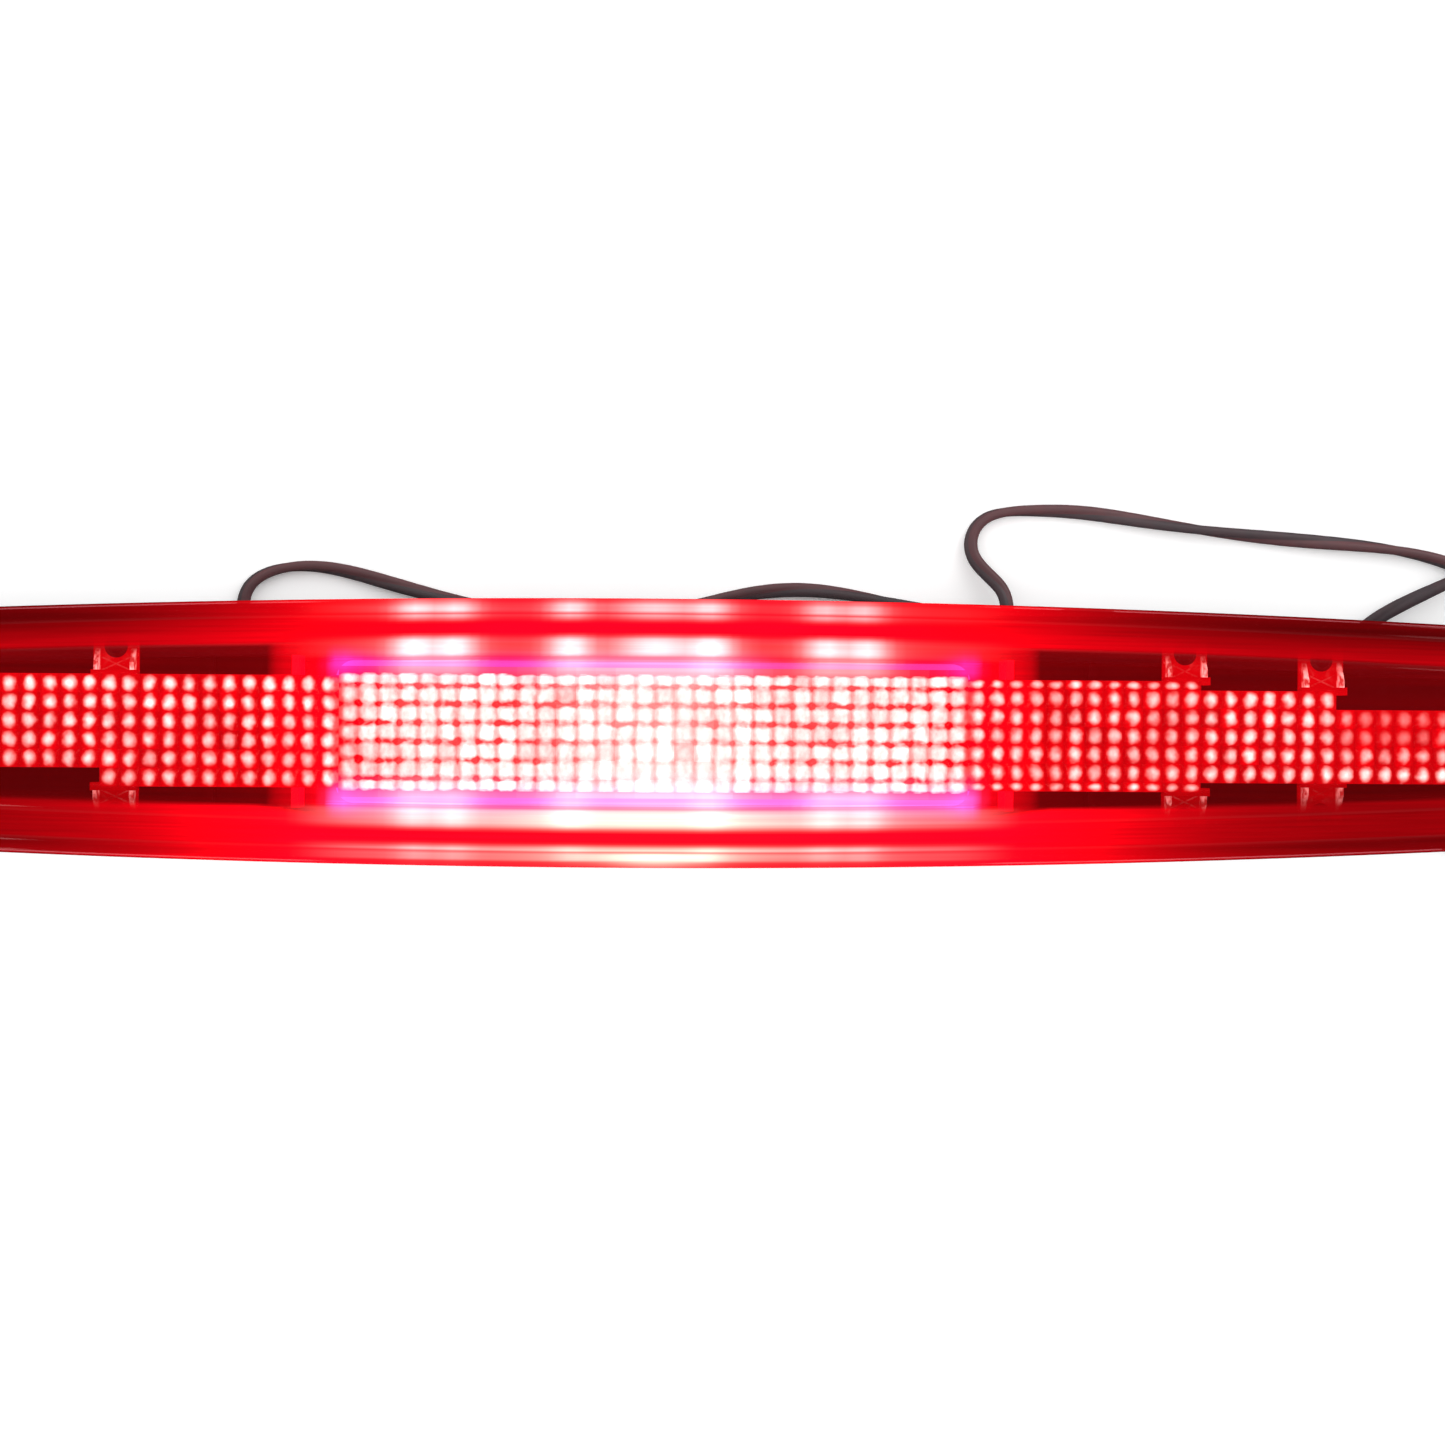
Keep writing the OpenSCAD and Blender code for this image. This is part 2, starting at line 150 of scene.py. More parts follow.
def make_cable():
    """Two insulated wires joined side by side, which turn slowly about each other."""
    line = route_line(1.0)
    sides = WIRE_SIDES
    verts, faces, core = [], [], []
    gone = 0.0
    for i, p in enumerate(line):
        ahead = (line[min(i + 1, len(line) - 1)] - line[max(i - 1, 0)]).normalized()
        side = ahead.cross(Vector((0, 0, 1))).normalized()
        up = side.cross(ahead)
        gone += (p - line[i - 1]).length if i else 0.0
        turn = math.pi * (gone - LEVEL_AT) / HALF_TURN
        flat = side * math.cos(turn) + up * math.sin(turn)
        tall = ahead.cross(flat)
        for k in range(sides):
            a = 2 * math.pi * (k + 0.5) / sides
            x, y = math.cos(a), math.sin(a)
            reach = abs(x) * WIRE_OUT + math.sqrt(WIRE_R ** 2 - (WIRE_OUT * y) ** 2)
            verts.append(p + flat * (x * reach) + tall * (y * reach))
            core.append((1.0 if x > 0 else 0.0) * (1 - smooth(FADE_FROM, FADE_TO, gone)))
    for i in range(len(line) - 1):
        for k in range(sides):
            j = (k + 1) % sides
            faces.append((i * sides + k, i * sides + j, (i + 1) * sides + j, (i + 1) * sides + k))
    faces.append(tuple(reversed(range(sides))))
    faces.append(tuple((len(line) - 1) * sides + k for k in range(sides)))
    o = piece("cable_pair", verts, faces)
    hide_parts("cable")
    attribute = o.data.attributes.new("core", "FLOAT", "POINT")
    attribute.data.foreach_set("value", core)
    return o


cable = make_cable()


# ---------------------------------------------------------------- lamp outline

lens_lo, lens_hi = (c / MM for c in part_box("outer_lens"))
HALF_L, HALF_H = lens_hi.x, lens_hi.y
# The long edges' radius, and how far their centres are from the lamp's middle line
EDGE_R = 3240.0
ARC_Y = EDGE_R - HALF_H
# The round ends touch both long edges. They meet at the tangent's angle.
END_R = (EDGE_R ** 2 - ARC_Y ** 2 - HALF_L ** 2) / (2 * (EDGE_R - HALF_L))
END_X = HALF_L - END_R
TANGENT = math.atan(END_X / ARC_Y)
LENS_Z = lens_lo.z
FACE_Z = lens_hi.z
WALL = 2.2
LED_X = [sum(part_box(f"led_{i}"), Vector()).x / 2 / MM for i in range(1, 7)]
END_STEPS, EDGE_STEPS = 36, 230


def half_height(x):
    """From the lamp's middle line to its long edge."""
    return math.sqrt(EDGE_R ** 2 - x * x) - ARC_Y


def arc(cx, cy, r, start, stop, steps):
    """Points on a round stretch, without its last one."""
    out = []
    for i in range(steps):
        a = mix(start, stop, i / steps)
        out.append((cx + r * math.cos(a), cy + r * math.sin(a)))
    return out


def plan(inset):
    """The lamp's outline moved inwards, with the same number of points at every inset."""
    q = math.pi / 2
    return (arc(END_X, 0, END_R - inset, TANGENT - q, q - TANGENT, END_STEPS)
            + arc(0, -ARC_Y, EDGE_R - inset, q - TANGENT, q + TANGENT, EDGE_STEPS)
            + arc(-END_X, 0, END_R - inset, q + TANGENT, 3 * q - TANGENT, END_STEPS)
            + arc(0, ARC_Y, EDGE_R - inset, 3 * q - TANGENT, 3 * q + TANGENT, EDGE_STEPS))


def rounded(profile, radius, steps):
    """The profile with each inner corner turned into a small curve."""
    p = [Vector(q) for q in profile]
    out = [p[0]]
    for a, b, c in zip(p, p[1:], p[2:]):
        before, after = a - b, c - b
        start = b + before * min(0.45, radius / before.length)
        stop = b + after * min(0.45, radius / after.length)
        for k in range(steps + 1):
            t = k / steps
            out.append(start * (1 - t) ** 2 + b * 2 * t * (1 - t) + stop * t * t)
    return out + [p[-1]]


def finer(profile, step):
    """The profile with points added so that none is more than step further in than the one before."""
    out = [profile[0]]
    for a, b in zip(profile, profile[1:]):
        n = max(1, math.ceil(abs(b.x - a.x) / step))
        out += [a.lerp(b, (k + 1) / n) for k in range(n)]
    return out


# ---------------------------------------------------------------- material helpers

def node(tree, kind, inputs=None, **settings):
    """A shader node. Its inputs are values or other nodes' outputs, and its settings are its own options."""
    n = tree.nodes.new(kind)
    for key, value in settings.items():
        setattr(n, key, value)
    for key, value in (inputs or {}).items():
        if isinstance(value, bpy.types.NodeSocket):
            tree.links.new(value, n.inputs[key])
        else:
            n.inputs[key].default_value = value
    return n


def new_material(name):
    m = bpy.data.materials.new(name)
    m.use_nodes = True
    m.node_tree.nodes.clear()
    return m, m.node_tree


def finish_material(tree, shader):
    node(tree, "ShaderNodeOutputMaterial", {"Surface": shader})


def place(tree, stretch=(1, 1, 1)):
    """Object coordinates in millimetres, stretched along an axis."""
    at = node(tree, "ShaderNodeTexCoord").outputs["Object"]
    scale = tuple(s / MM for s in stretch)
    return node(tree, "ShaderNodeMapping", {"Vector": at, "Scale": scale}).outputs[0]


def ranged(t, value, start, stop, before, after, **settings):
    """The value brought from the range start to stop into the range before to after."""
    return node(t, "ShaderNodeMapRange", {
        "Value": value, "From Min": start, "From Max": stop, "To Min": before, "To Max": after},
        **settings).outputs[0]


def fade(t, value, start, stop, before=1.0, after=0.0):
    """As ranged, with a soft start and stop."""
    return ranged(t, value, start, stop, before, after, interpolation_type="SMOOTHSTEP")


def maths(t, operation, a, b):
    return node(t, "ShaderNodeMath", {0: a, 1: b}, operation=operation).outputs[0]


def vector(t, operation, a, b):
    return node(t, "ShaderNodeVectorMath", {0: a, 1: b}, operation=operation).outputs[0]


def tinted(t, colour, amount):
    return node(t, "ShaderNodeMixRGB", {"Fac": 1.0, "Color1": colour, "Color2": amount},
                blend_type="MULTIPLY").outputs[0]


def chosen(t, share, a, b):
    """A number that is a where share is nought and b where it is one."""
    return node(t, "ShaderNodeMix", {0: share, 2: a, 3: b}, data_type="FLOAT").outputs[0]


def noise_texture(t, at, scale, detail=2.0, **inputs):
    """Soft noise, from nought to one, at a scale in marks to the millimetre."""
    return node(t, "ShaderNodeTexNoise", {
        "Vector": at, "Scale": scale, "Detail": detail, **inputs}).outputs[0]


def rgba(c):
    return (*c, 1.0)


def grained(name, colour, rough=0.5, grain=0.6, depth=0.25, vary=0.25, metallic=0.0, stretch=(1, 1, 1),
            glow=None):
    """A moulded or turned surface: fine grain, a faint unevenness of tone and polish, and any glow it has."""
    m, t = new_material(name)
    at = place(t, stretch)
    fine = noise_texture(t, at, 1 / grain, 3.0, Roughness=0.6)
    broad = noise_texture(t, at, 0.12, 4.0, Roughness=0.55)
    dark, light = (tuple(c * k for c in colour) for k in (1 - vary, 1 + vary))
    tone = node(t, "ShaderNodeMixRGB", {"Fac": broad, "Color1": rgba(dark), "Color2": rgba(light)})
    shine = ranged(t, fine, 0.3, 0.7, rough * 0.85, min(1.0, rough * 1.15))
    bump = node(t, "ShaderNodeBump", {"Height": fine, "Strength": depth, "Distance": 0.1 * MM})
    inputs = {"Base Color": tone.outputs[0], "Roughness": shine, "Normal": bump.outputs[0],
              "Metallic": metallic}
    if glow:
        inputs["Emission Color"] = rgba(glow[0])
        inputs["Emission Strength"] = glow[1]
    finish_material(t, node(t, "ShaderNodeBsdfPrincipled", inputs).outputs[0])
    return m


def foam(name, colour):
    """Closed-cell foam: small round cells cut open."""
    m, t = new_material(name)
    at = place(t)
    cells = node(t, "ShaderNodeTexVoronoi", {"Vector": at, "Scale": 1.6, "Randomness": 1.0})
    depth = cells.outputs["Distance"]
    # Painted shade: each cut cell is darker in its hollow and lighter at its rim.
    tint = tinted(t, rgba(colour), ranged(t, depth, 0.0, 0.7, 0.5, 1.5))
    bump = node(t, "ShaderNodeBump", {"Height": depth, "Strength": 0.7, "Distance": 0.3 * MM})
    finish_material(t, node(t, "ShaderNodeBsdfPrincipled", {
        "Base Color": tint, "Roughness": 0.92, "Normal": bump.outputs[0]}).outputs[0])
    return m


def see_through(t, solid, tint, clear):
    """The solid shader made see-through by the share clear, with a tint, under a red gloss."""
    through = node(t, "ShaderNodeBsdfTransparent", {"Color": tint})
    body = node(t, "ShaderNodeMixShader", {"Fac": clear, 1: solid, 2: through.outputs[0]})
    edge = node(t, "ShaderNodeFresnel", {"IOR": 1.4})
    shine = node(t, "ShaderNodeBsdfGlossy", {"Color": (1, 0.5, 0.5, 1), "Roughness": 0.05})
    whole = node(t, "ShaderNodeMixShader", {"Fac": edge.outputs[0], 1: body.outputs[0], 2: shine.outputs[0]})
    return whole.outputs[0]


# ---------------------------------------------------------------- lens

# The lens's section, outside and inside: each corner's distance in from the edge, and its height
RIM_TOP = LENS_Z + 4
RIM_W = 3.2
SLOPE_TOP = 8.4
FACE_IN = 13
LENS_OUTSIDE = [(0.3, LENS_Z), (0, LENS_Z + 0.4), (0, LENS_Z + 2.8), (0.4, LENS_Z + 3.4), (RIM_W, RIM_TOP),
                (4, RIM_TOP + 0.7), (SLOPE_TOP, FACE_Z - 1.3), (9.2, FACE_Z - 0.5), (10.4, FACE_Z - 0.15),
                (FACE_IN, FACE_Z)]
LENS_INSIDE = [(FACE_IN, FACE_Z - WALL), (11, FACE_Z - WALL - 0.3), (9.8, FACE_Z - WALL - 1.2),
               (5.6, LENS_Z + 2.8), (4.6, LENS_Z + 2), (WALL, LENS_Z + 1.4), (WALL, LENS_Z)]
# The window's rings inside the last corner: each is as long as the window and this share as wide
FLAT = [0.96, 0.92, 0.88, 0.84, 0.78, 0.7, 0.5, 0.25, 0]
# The light box's half width and half length
BOX_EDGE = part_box("light_box")[1].y / MM
BOX_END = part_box("light_box")[1].x / MM

# What the lens lets through, by the distance in from its edge
CLEARNESS = [(0, 0.25), (RIM_W, 0.15), (4, 0.03), (7.6, 0.03), (SLOPE_TOP, 0.12), (9.2, 0.5), (10.4, 0.8),
             (FACE_IN, 0.9)]
# Red light in the lens, and the LEDs' white light painted into it as their reflections, by the same distance
RED = [(0, 0.2), (1.2, 0.16), (2.4, 0.1), (3.4, 0.16), (3.8, 0.24), (4.8, 0.27), (7.2, 0.36),
       (SLOPE_TOP, 0.4), (9, 0.16), (10.4, 0.12), (FACE_IN, 0.1)]
WHITE = [(0, 0.1), (0.8, 0.35), (1.6, 0.95), (2.6, 0.95), (3.1, 0.12), (3.5, 0.5), (4, 0.3), (4.6, 0.03),
         (5.2, 0), (7.2, 0), (7.8, 0.1), (8.5, 0.8), (9.2, 1.15), (11, 1.15), (11.6, 0.7), (12, 0.1),
         (12.5, 0), (FACE_IN, 0)]


def lower(y):
    """Nought in the lens's upper half and one in its lower half, where the LEDs' light falls more evenly."""
    return smooth(8, -8, y)


def seen_inset(x, y, inset):
    """The distance in from the edge, less where the lower slope's glow reaches further over the window."""
    over_window = smooth(8, 9.5, inset) * smooth(FACE_IN + 0.1, FACE_IN - 0.1, inset)
    return inset - 2.4 * lower(y) * smooth(60, 80, abs(x)) * over_window


def red_light(x, low, seen):
    """The lens's red light: its section's, a wide glow on the slopes, and painted light from the lit rooms
    past the box's ends.
    """
    red = along(RED, seen)
    window = smooth(8.6, 9.6, seen)
    lit = smooth(74, 58, abs(x))
    # Painted light: the housing between the box's ends and the shields, lit red by the box.
    lit_room_light = smooth(76.5, 74, abs(x)) * smooth(60, 63, abs(x)) * mix(0.6, 0.4, low)
    slopes = bell(x, 0, 56) * mix(4.0, 12.0, low) * mix(1, 0.03, window)
    return red, slopes + window * (lit_room_light + 0.85 * lit)


def white_light(x, low, inset):
    """Painted reflections of the LEDs: hot spots beside each LED on the slopes and the rim, and one wide spot
    at the middle.
    """
    spots = mix(0.03, 0.16, low) * smooth(74, 58, abs(x)) + 0.9 * bell(x, 0, mix(7, 30, low))
    for led in LED_X:
        spots += mix(1.0, 0.4, low) * bell(x, led, 3.6) + 0.08 * bell(x, led, 9)
    if x > 20:
        spots *= mix(0.8, 1.0, low)
    white = along(WHITE, inset) * spots * mix(1, 1.9, low * bell(inset, 3.8, 0.8))
    if inset < 3:
        white *= mix(0.85, 0.5 + 0.8 * bell(x, 0, 12), low)
    if inset < 1.4:
        white *= mix(1, 0.25 + 0.75 * bell(x, 0, 10), low)
    return white


def lens_glow(x, y, inset):
    """Red, green and blue light that shows in the lens at a place."""
    low = lower(y)
    seen = seen_inset(x, y, inset)
    lift = mix(0.75, 1.25, smooth(3, SLOPE_TOP, inset))
    section, wide = red_light(x, low, seen)
    red = section * mix(lift, 2 - lift, low) + wide
    white = white_light(x, low, inset)
    violet = 0.0
    if abs(x) < BOX_END + 6:
        # The light box's edge shows as a violet band, which is brightest at its ends and by the LEDs
        band = bell(abs(y), BOX_EDGE - 1.1, mix(2.1, 2.5, low)) * smooth(BOX_END + 2, BOX_END - 2, abs(x))
        band *= smooth(8.6, 9.6, seen)
        fading = mix(0.55, 0.12, smooth(14, 26, x))
        violet = band * (mix(fading, 1.0, low) + 0.9 * bell(abs(x), BOX_END - 1, 4))
        white += band * (0.35 * bell(x, 0, 16) + sum(0.4 * bell(x, led, 4.5) for led in LED_X) + 0.12 * low)
    blue = mix(0.95, 0.74, low * bell(x, 0, 40) * smooth(FACE_IN, FACE_IN - 1, inset))
    return (min(red, 1.6) + white + 0.5 * violet, 0.0002 * red + white * 0.93 + 0.03 * violet,
            0.006 * min(red, 3) + white * blue + 0.42 * violet)


def lens_material():
    """The lens's outside: its light, faintly streaked along the lamp, and red where it is see-through."""
    m, t = new_material("red_lens")
    lit = node(t, "ShaderNodeAttribute", attribute_name="glow")
    streaks = noise_texture(t, place(t, (0.02, 1.1, 1.1)), 1.0, 3.0)
    light = tinted(t, lit.outputs["Color"], ranged(t, streaks, 0.3, 0.7, 0.86, 1.14))
    solid = node(t, "ShaderNodeBsdfPrincipled", {
        "Base Color": (0.02, 0.0002, 0.0004, 1), "Roughness": 0.3, "Specular IOR Level": 0.0,
        "Emission Color": light, "Emission Strength": 1.0})
    finish_material(t, see_through(t, solid.outputs[0], (1.0, 0.34, 0.4, 1), lit.outputs["Alpha"]))
    return m


def lens_inside_material():
    """The lens's inside: all but clear, with a faint haze."""
    m, t = new_material("red_lens_inside")
    share = ranged(t, noise_texture(t, place(t), 0.3), 0.0, 1.0, 0.96, 1.0)
    solid = node(t, "ShaderNodeBsdfPrincipled", {"Base Color": (0.3, 0.002, 0.004, 1), "Roughness": 0.2})
    through = node(t, "ShaderNodeBsdfTransparent", {"Color": (1, 1, 1, 1)})
    finish_material(t, node(t, "ShaderNodeMixShader", {
        "Fac": share, 1: solid.outputs[0], 2: through.outputs[0]}).outputs[0])
    return m


def clearness(x, y, inset):
    """What the lens lets through: less outside the light box's edge, where its glow hides the tub."""
    inside_box = smooth(BOX_EDGE + 0.8, BOX_EDGE - 0.6, abs(y))
    beside_box = smooth(BOX_END + 8, BOX_END, abs(x))
    return along(CLEARNESS, seen_inset(x, y, inset)) * mix(1, inside_box, beside_box)


def make_lens():
    """A shell of rings round the lamp, from the inside's middle out to the edge and back over the outside."""
    rings = [(FACE_IN, FACE_Z - WALL, s) for s in reversed(FLAT)]
    rings += [(p.x, p.y, 1) for p in rounded(LENS_INSIDE, 0.5, 3)]
    first_outside = len(rings)
    rings += [(p.x, p.y, 1) for p in finer(rounded(LENS_OUTSIDE, 0.7, 4), 0.5)]
    rings += [(FACE_IN, FACE_Z, s) for s in FLAT]
    verts, glow = [], []
    for inset, z, s in rings:
        for x, y in plan(inset):
            clear = clearness(x, y * s, inset)
            solid = max(0.08, 1 - clear)
            verts.append((x, y * s, z))
            glow += [c / solid for c in lens_glow(x, y * s, inset)] + [clear]
    n = len(plan(0))
    faces = [(i * n + k, i * n + (k + 1) % n, (i + 1) * n + (k + 1) % n, (i + 1) * n + k)
             for i in range(len(rings) - 1) for k in range(n)]
    o = piece("lens_shell", verts, faces)
    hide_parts("outer_lens")
    o.data.attributes.new("glow", "FLOAT_COLOR", "POINT").data.foreach_set("color", glow)
    o.data.materials.append(lens_material())
    o.data.materials.append(lens_inside_material())
    for i, f in enumerate(o.data.polygons):
        f.material_index = 1 if i // n < first_outside else 0
    bm = bmesh.new()
    bm.from_mesh(o.data)
    bmesh.ops.remove_doubles(bm, verts=bm.verts, dist=0.02 * MM)
    bmesh.ops.recalc_face_normals(bm, faces=bm.faces)
    bm.to_mesh(o.data)
    bm.free()


make_lens()


# ---------------------------------------------------------------- pillow optic

# The grid's pitch, the plate's underside and thickness, and how far a pillow stands up
PITCH_X, PITCH_Y = 3.95, 3.75
OPTIC_Z, OPTIC_T, PILLOW_H = 25.0, 2.2, 1.0
OPTIC_TOP = OPTIC_Z + OPTIC_T
CELL_STEPS = 8
# Each zone's first and last column, its rows above and below the middle line, and whether its row lines
# fall on that line (0) or half a row off it (0.5)
ZONES = [(-57, -40, 2, 2, 0), (-40, -28, 3, 2, 0), (-28, -16, 3, 3, 0), (-16, 16, 3.5, 3.5, 0.5),
         (16, 28, 3, 3, 0.5), (28, 35, 2.5, 2.5, 0.5), (35, 57, 1.5, 2.5, 0.5)]
# The plain rim over the light box's edge, in rows. Only the widest zone reaches it.
BOX_RIM = 0.35
RIMMED_ROWS = 3.5
# The tabs: where they are, half their width, how far their prongs and stakes are, and their foot's thickness
TAB_X = [-136, -108, 108, 136]
TAB_HALF = 4.5
PRONG_AT = 3.6
STAKE_IN = 8.6
TAB_T = 1.6
FLANGE_TOP = LENS_Z


def dome(u, v):
    """A pillow's height over its cell, from nought at the cell's sides to one at its middle."""
    return max(0.0, (1 - (2 * u - 1) ** 2) * (1 - (2 * v - 1) ** 2)) ** 0.6


def pillow_rows(above, below, phase):
    """Each row's two lines and its lift: whole pillows, low ones where an edge cuts them, any plain rim."""
    rim = BOX_RIM if above >= RIMMED_ROWS else 0
    low, high = rim - below, above - rim
    lines = [low] + [k + phase for k in range(-4, 4) if low < k + phase < high] + [high]
    rows = [(v0, v1, 1) for v0, v1 in zip(lines, lines[1:])]
    return rows + [(-below, low, 0), (high, above, 0)] if rim else rows


def row_light(x, y):
    """How bright a pillow is: even where the LEDs stand behind it, and uneven towards the lamp's ends."""
    light = 0.95
    if x > 70:
        dim_corner = smooth(-8, -0.5, y) * smooth(132, 142, x)
        light *= mix(0.8, 1.15, smooth(100, 130, x)) * mix(1.0, 0.2, dim_corner)
    if x < -66:
        light *= mix(0.75, 1.15, smooth(-5, 8, y))
    return mix(light, 1.0, smooth(70, 58, abs(x)))


def haze_light(x):
    """Light between the pillows, over the LEDs."""
    by_leds = sum(bell(x, led, 6) for led in LED_X)
    return smooth(60, 50, abs(x)) * (0.03 + 0.28 * bell(x, 0, 17) + 0.03 * by_leds)


def box_plan(x0, x1, y0, y1):
    """An upright box's four corners, seen from above, whichever way its sides are given."""
    y0, y1 = min(y0, y1), max(y0, y1)
    return [(x0, y0), (x1, y0), (x1, y1), (x0, y1)]


class Optic:
    """The optic's points and faces, and each point's place in its cell, light and row lines' strength."""

    def __init__(self):
        self.verts, self.faces = [], []
        self.cell, self.light, self.bars = [], [], []

    def corner(self, x, y, z, u=0.0, v=0.0, white=0.0, haze=0.0, red=0.5):
        """Adds a point and gives its number."""
        self.verts.append((x, y, z))
        self.cell.append((u, v))
        self.light.extend((white, haze, smooth(66, 56, abs(x)), red))
        self.bars.append(1 - 0.8 * bell(x, 2, 24) * smooth(2, -6, y))
        return len(self.verts) - 1

    def walls(self, low, high):
        """The sides between two rings of points."""
        for k in range(len(low)):
            j = (k + 1) % len(low)
            self.faces.append((low[k], low[j], high[j], high[k]))

    def prism(self, foot, head, z0, z1, red, haze=0.0, top_glint=0.0):
        """A solid whose plan may differ a little between its foot and its head."""
        low = [self.corner(x, y, z0, red=red, haze=haze) for x, y in foot]
        high = [self.corner(x, y, z1, red=red, haze=top_glint) for x, y in head]
        self.faces.append(tuple(reversed(low)))
        self.faces.append(tuple(high))
        self.walls(low, high)

    def pillow(self, column, v0, v1, lift):
        """The top of one cell between two row lines: a dome, or a plain patch where lift is nought."""
        x0, y0, deep = column * PITCH_X, v0 * PITCH_Y, (v1 - v0) * PITCH_Y
        cx, cy = x0 + PITCH_X / 2, y0 + deep / 2
        luck = noise.noise(Vector((cx * 0.31, cy * 0.43, 3.0)))
        column_luck = noise.noise(Vector((column * 0.67, 0.5, 8.0)))
        white = lift * row_light(cx, cy) * (1 + 0.5 * luck + 0.35 * column_luck)
        haze = haze_light(cx) * (1 + 0.3 * luck)
        n = CELL_STEPS
        first = len(self.verts)
        for j in range(n + 1):
            for i in range(n + 1):
                u, v = i / n, j / n
                z = OPTIC_TOP + lift * PILLOW_H * dome(u, v)
                self.corner(x0 + u * PITCH_X, y0 + v * deep, z, u, v, white, haze, 0.62 + 0.3 * luck)
        for j in range(n):
            for i in range(n):
                a = first + j * (n + 1) + i
                self.faces.append((a, a + 1, a + n + 2, a + n + 1))

    def plate(self, first_column, last_column, above, below):
        """The flat body under a zone's pillows."""
        ring = box_plan(first_column * PITCH_X, last_column * PITCH_X, -below * PITCH_Y, above * PITCH_Y)
        low = [self.corner(x, y, OPTIC_Z) for x, y in ring]
        high = [self.corner(x, y, OPTIC_TOP) for x, y in ring]
        self.faces.append(tuple(reversed(low)))
        self.walls(low, high)

    def tab(self, x, s):
        """A web, a foot on the flange, two prongs and crossed braces, above the middle line where s is 1."""
        above, below = [zone[2:4] for zone in ZONES if zone[0] * PITCH_X <= x < zone[1] * PITCH_X][0]
        web_y = (above if s > 0 else below) * PITCH_Y
        stake_y = half_height(x) - STAKE_IN
        near = s * (web_y + 0.6)
        foot_top = FLANGE_TOP + TAB_T
        # The tabs' red glow is brighter on the upper tabs, and the tops of their prongs and braces carry
        # painted glints.
        red = 0.7 if s > 0 else 0.42
        glint = 0.42 if s > 0 else 0.2
        web = box_plan(x - TAB_HALF, x + TAB_HALF, s * (web_y - 0.8), s * (web_y + 0.8))
        self.prism(web, web, LENS_Z, OPTIC_TOP, red)
        foot = box_plan(x - TAB_HALF, x + TAB_HALF, near, s * (stake_y + 2.4))
        self.prism(foot, foot, FLANGE_TOP, foot_top, red)
        for side in (-1, 1):
            out = x + side * PRONG_AT
            prong_foot = box_plan(out - 0.5, out + 0.5, near, s * (stake_y - 0.4))
            prong_head = box_plan(out - 0.4, out + 0.4, near, near + s * 1.6)
            self.prism(prong_foot, prong_head, foot_top, OPTIC_TOP - 0.4, red, haze=0.03, top_glint=glint)
            brace = [(x - side * 3.3, s * (web_y + 0.7)), (x - side * 2.6, s * (web_y + 0.7)),
                     (x + side * 3.3, s * (web_y + 3.4)), (x + side * 2.6, s * (web_y + 3.4))]
            if side * s < 0:
                brace.reverse()
            self.prism(brace, brace, foot_top, OPTIC_TOP - 5, red, haze=0.03, top_glint=glint)


def make_optic():
    """Zones of pillows that narrow towards the lamp's ends, with tabs down to the housing's flange."""
    optic = Optic()
    for first_column, last_column, above, below, phase in ZONES:
        for column in range(first_column, last_column):
            for v0, v1, lift in pillow_rows(above, below, phase):
                optic.pillow(column, v0, v1, lift)
        optic.plate(first_column, last_column, above, below)
    for x in TAB_X:
        for s in (-1, 1):
            optic.tab(x, s)
    o = piece("pillow_optic", optic.verts, optic.faces)
    uv = o.data.uv_layers.new(name="cell")
    uv.data.foreach_set("uv", [w for loop in o.data.loops for w in optic.cell[loop.vertex_index]])
    o.data.attributes.new("light", "FLOAT_COLOR", "POINT").data.foreach_set("color", optic.light)
    o.data.attributes.new("bars", "FLOAT", "POINT").data.foreach_set("value", optic.bars)
    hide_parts("inner_optic")
    o.data.materials.append(optic_material())


def from_cell_middle(t):
    """How far a point is from the middle of its cell, each cell a little warped."""
    uv = node(t, "ShaderNodeUVMap", uv_map="cell").outputs[0]
    warp = node(t, "ShaderNodeTexNoise", {"Vector": place(t), "Scale": 0.42, "Detail": 2.0}).outputs["Color"]
    shift = vector(t, "SUBTRACT", warp, (0.5, 0.5, 0.5))
    shift = node(t, "ShaderNodeVectorMath", {0: shift, "Scale": 0.36}, operation="SCALE").outputs[0]
    return vector(t, "ADD", vector(t, "SUBTRACT", uv, (0.5, 0.5, 0)), shift)


